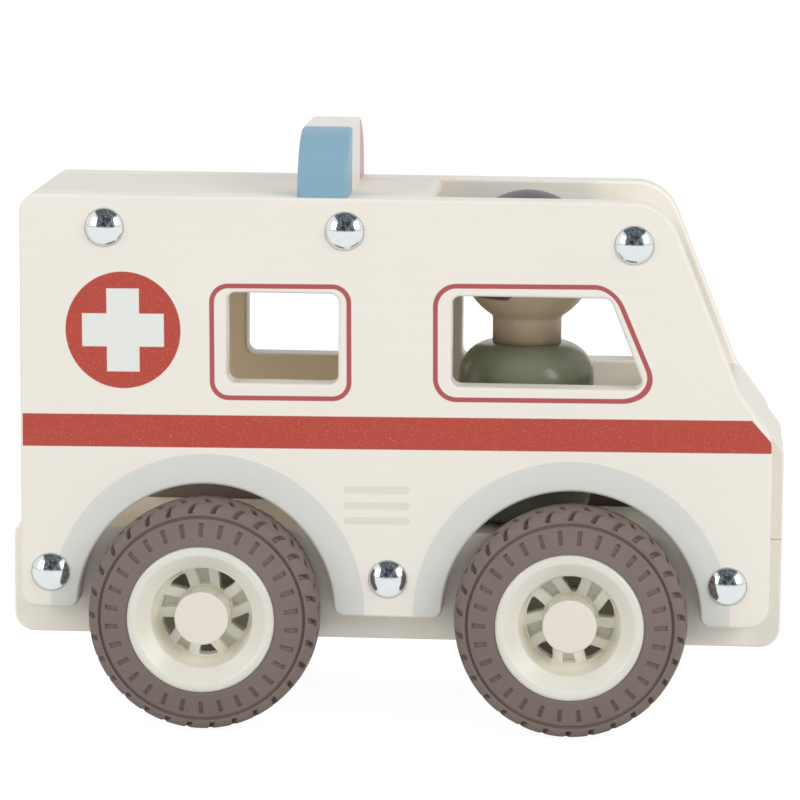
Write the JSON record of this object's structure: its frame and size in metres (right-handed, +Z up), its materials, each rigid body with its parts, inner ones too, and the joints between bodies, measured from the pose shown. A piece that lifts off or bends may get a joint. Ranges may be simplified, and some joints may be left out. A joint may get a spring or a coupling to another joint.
{
  "type": "wooden toy ambulance",
  "caption": "Wooden push-along toy ambulance with bolted side boards, open loading bay, siren block, spoked rubber-tyred wheels on turning axles and a lift-out peg figure.",
  "frame": {"origin": "on the ground under the middle of the vehicle", "axes": "+X to the front of the vehicle, +Y to its left side, +Z up"},
  "size_m": [0.191, 0.0796, 0.1478],
  "materials": {
    "board_paint": "cream paint with printed stripe and emblem",
    "block_paint": "cream paint",
    "siren_blue": "glossy blue-grey paint",
    "siren_white": "glossy off-white paint",
    "siren_red": "glossy dusty rose paint",
    "bolt_zinc": "bright zinc plate",
    "axle_steel": "drawn rod",
    "tyre_rubber": "matt taupe rubber",
    "rim_plastic": "glossy cream moulding",
    "cap_plastic": "matt cream moulding",
    "figure_green": "sage green paint",
    "figure_skin": "natural wood face with painted brown hair"
  },
  "bodies": {
    "car": {"side_board_right": "board_paint", "side_board_left": "board_paint", "chassis_block": "block_paint", "hood_block": "block_paint", "roof_block": "block_paint", "cross_bar": "block_paint", "siren_blue_block": "siren_blue", "siren_white_block": "siren_white", "siren_red_block": "siren_red", "dome_bolts_right": "bolt_zinc", "dome_bolts_left": "bolt_zinc"},
    "front_wheels": {"front_axle": "axle_steel", "front_right_tyre": "tyre_rubber", "front_right_rim": "rim_plastic", "front_right_hub_cap": "cap_plastic", "front_left_tyre": "tyre_rubber", "front_left_rim": "rim_plastic", "front_left_hub_cap": "cap_plastic"},
    "rear_wheels": {"rear_axle": "axle_steel", "rear_right_tyre": "tyre_rubber", "rear_right_rim": "rim_plastic", "rear_right_hub_cap": "cap_plastic", "rear_left_tyre": "tyre_rubber", "rear_left_rim": "rim_plastic", "rear_left_hub_cap": "cap_plastic"},
    "figure": {"figure_body": "figure_green", "figure_head": "figure_skin"}
  },
  "joints": [
    {"name": "front_axle_spin", "type": "hinge", "parent": "car", "child": "front_wheels", "pos_m": [0.0439, 0, 0.0287], "axis": [0, 1, 0], "continuous": true},
    {"name": "rear_axle_spin", "type": "hinge", "parent": "car", "child": "rear_wheels", "pos_m": [-0.0465, 0, 0.0287], "axis": [0, 1, 0], "continuous": true},
    {"name": "figure_lift", "type": "slide", "parent": "car", "child": "figure", "axis": [0, 0, 1], "range_m": [0, 0.08]}
  ]
}
